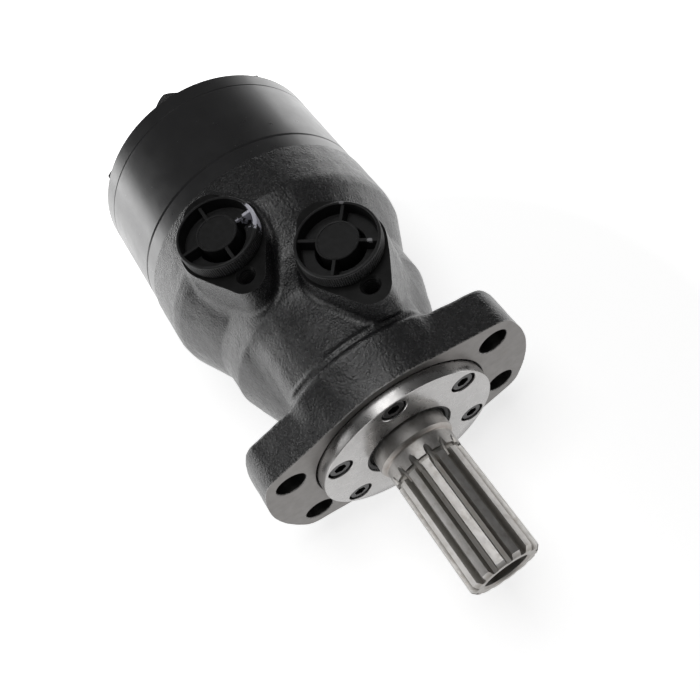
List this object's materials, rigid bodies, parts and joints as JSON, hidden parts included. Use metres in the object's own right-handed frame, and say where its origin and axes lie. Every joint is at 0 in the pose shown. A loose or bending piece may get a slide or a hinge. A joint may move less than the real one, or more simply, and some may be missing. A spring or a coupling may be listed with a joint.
{
  "type": "hydraulic motor",
  "caption": "Orbital hydraulic motor with a roller gear set, an oval four-hole flange, a pilot, a splined output shaft and two capped ports side by side on top.",
  "frame": {"origin": "centre of the pilot, in the plane of the flange's mounting face", "axes": "+X along the output shaft, out of the motor; +Z towards the two ports; Y along the flange's long axis"},
  "size_m": [0.2558, 0.1296, 0.1275],
  "materials": {
    "cast_black": "rough black-painted sand casting",
    "black_paint": "semi-gloss black paint on turned steel",
    "machined_steel": "turned and ground, bare",
    "shaft_steel": "machined alloy steel, oiled",
    "bearing_steel": "hardened and ground",
    "black_oxide": "blackened",
    "black_rubber": "matt moulded",
    "black_plastic": "moulded, slight sheen",
    "washer_metal": "soft annealed"
  },
  "bodies": {
    "root": {"housing": "cast_black", "front_cover": "machined_steel", "front_cover_screws": "black_oxide", "front_cover_o_ring": "black_rubber", "shaft_seal": "black_rubber", "dust_seal": "black_rubber", "thrust_race_front": "bearing_steel", "distributor_plate": "black_paint", "gear_ring": "black_paint", "end_cover": "black_paint", "end_cover_screws": "black_oxide", "end_screw_washers": "washer_metal", "housing_o_ring": "black_rubber", "plate_o_ring": "black_rubber", "end_cover_o_ring": "black_rubber", "check_plugs": "shaft_steel", "drain_plug": "black_oxide", "drain_washer": "washer_metal"},
    "shaft": {"output_shaft": "shaft_steel", "thrust_race_rear": "bearing_steel"},
    "needle_bearing": {"needle_cage": "bearing_steel", "thrust_needles": "bearing_steel"},
    "orbit": {"cardan_spacer": "bearing_steel"},
    "rotor": {"rotor": "bearing_steel"},
    "cardan": {"cardan_shaft": "shaft_steel"},
    "roller_1": {"roller_1": "bearing_steel"},
    "roller_2": {"roller_2": "bearing_steel"},
    "roller_3": {"roller_3": "bearing_steel"},
    "roller_4": {"roller_4": "bearing_steel"},
    "roller_5": {"roller_5": "bearing_steel"},
    "roller_6": {"roller_6": "bearing_steel"},
    "roller_7": {"roller_7": "bearing_steel"},
    "check_ball_a": {"check_ball_a": "bearing_steel"},
    "check_ball_b": {"check_ball_b": "bearing_steel"},
    "port_cap_a": {"port_cap_a": "black_plastic"},
    "port_cap_b": {"port_cap_b": "black_plastic"}
  },
  "joints": [
    {"name": "shaft_spin", "type": "hinge", "parent": "root", "child": "shaft", "pos_m": [0, 0, 0], "axis": [1, 0, 0], "continuous": true},
    {"name": "needle_cage_spin", "type": "hinge", "parent": "root", "child": "needle_bearing", "pos_m": [-0.013, 0, 0], "axis": [1, 0, 0], "continuous": true},
    {"name": "rotor_orbit", "type": "hinge", "parent": "root", "child": "orbit", "pos_m": [-0.1483, 0, 0], "axis": [1, 0, 0], "continuous": true},
    {"name": "rotor_spin", "type": "hinge", "parent": "orbit", "child": "rotor", "pos_m": [-0.1483, 0, 0.0028], "axis": [1, 0, 0], "continuous": true},
    {"name": "cardan_spin", "type": "hinge", "parent": "orbit", "child": "cardan", "pos_m": [-0.074, 0, 0], "axis": [0.9993, 0, -0.0377], "continuous": true},
    {"name": "roller_1_spin", "type": "hinge", "parent": "root", "child": "roller_1", "pos_m": [-0.1483, -0.01649, 0.03424], "axis": [1, 0, 0], "continuous": true},
    {"name": "roller_2_spin", "type": "hinge", "parent": "root", "child": "roller_2", "pos_m": [-0.1483, -0.03705, 0.00846], "axis": [1, 0, 0], "continuous": true},
    {"name": "roller_3_spin", "type": "hinge", "parent": "root", "child": "roller_3", "pos_m": [-0.1483, -0.02971, -0.02369], "axis": [1, 0, 0], "continuous": true},
    {"name": "roller_4_spin", "type": "hinge", "parent": "root", "child": "roller_4", "pos_m": [-0.1483, 0, -0.038], "axis": [1, 0, 0], "continuous": true},
    {"name": "roller_5_spin", "type": "hinge", "parent": "root", "child": "roller_5", "pos_m": [-0.1483, 0.02971, -0.02369], "axis": [1, 0, 0], "continuous": true},
    {"name": "roller_6_spin", "type": "hinge", "parent": "root", "child": "roller_6", "pos_m": [-0.1483, 0.03705, 0.00846], "axis": [1, 0, 0], "continuous": true},
    {"name": "roller_7_spin", "type": "hinge", "parent": "root", "child": "roller_7", "pos_m": [-0.1483, 0.01649, 0.03424], "axis": [1, 0, 0], "continuous": true},
    {"name": "check_ball_a_lift", "type": "slide", "parent": "root", "child": "check_ball_a", "axis": [-1, 0, 0], "range_m": [0, 0.002]},
    {"name": "check_ball_b_lift", "type": "slide", "parent": "root", "child": "check_ball_b", "axis": [-1, 0, 0], "range_m": [0, 0.002]},
    {"name": "port_cap_a_out", "type": "slide", "parent": "root", "child": "port_cap_a", "axis": [0, 0, 1], "range_m": [0, 0.016]},
    {"name": "port_cap_b_out", "type": "slide", "parent": "root", "child": "port_cap_b", "axis": [0, 0, 1], "range_m": [0, 0.016]}
  ],
  "couplings": [
    {"joint": "needle_cage_spin", "follows": "shaft_spin", "ratio": 0.5},
    {"joint": "rotor_orbit", "follows": "shaft_spin", "ratio": -6},
    {"joint": "rotor_spin", "follows": "shaft_spin", "ratio": 7},
    {"joint": "cardan_spin", "follows": "shaft_spin", "ratio": 7}
  ]
}
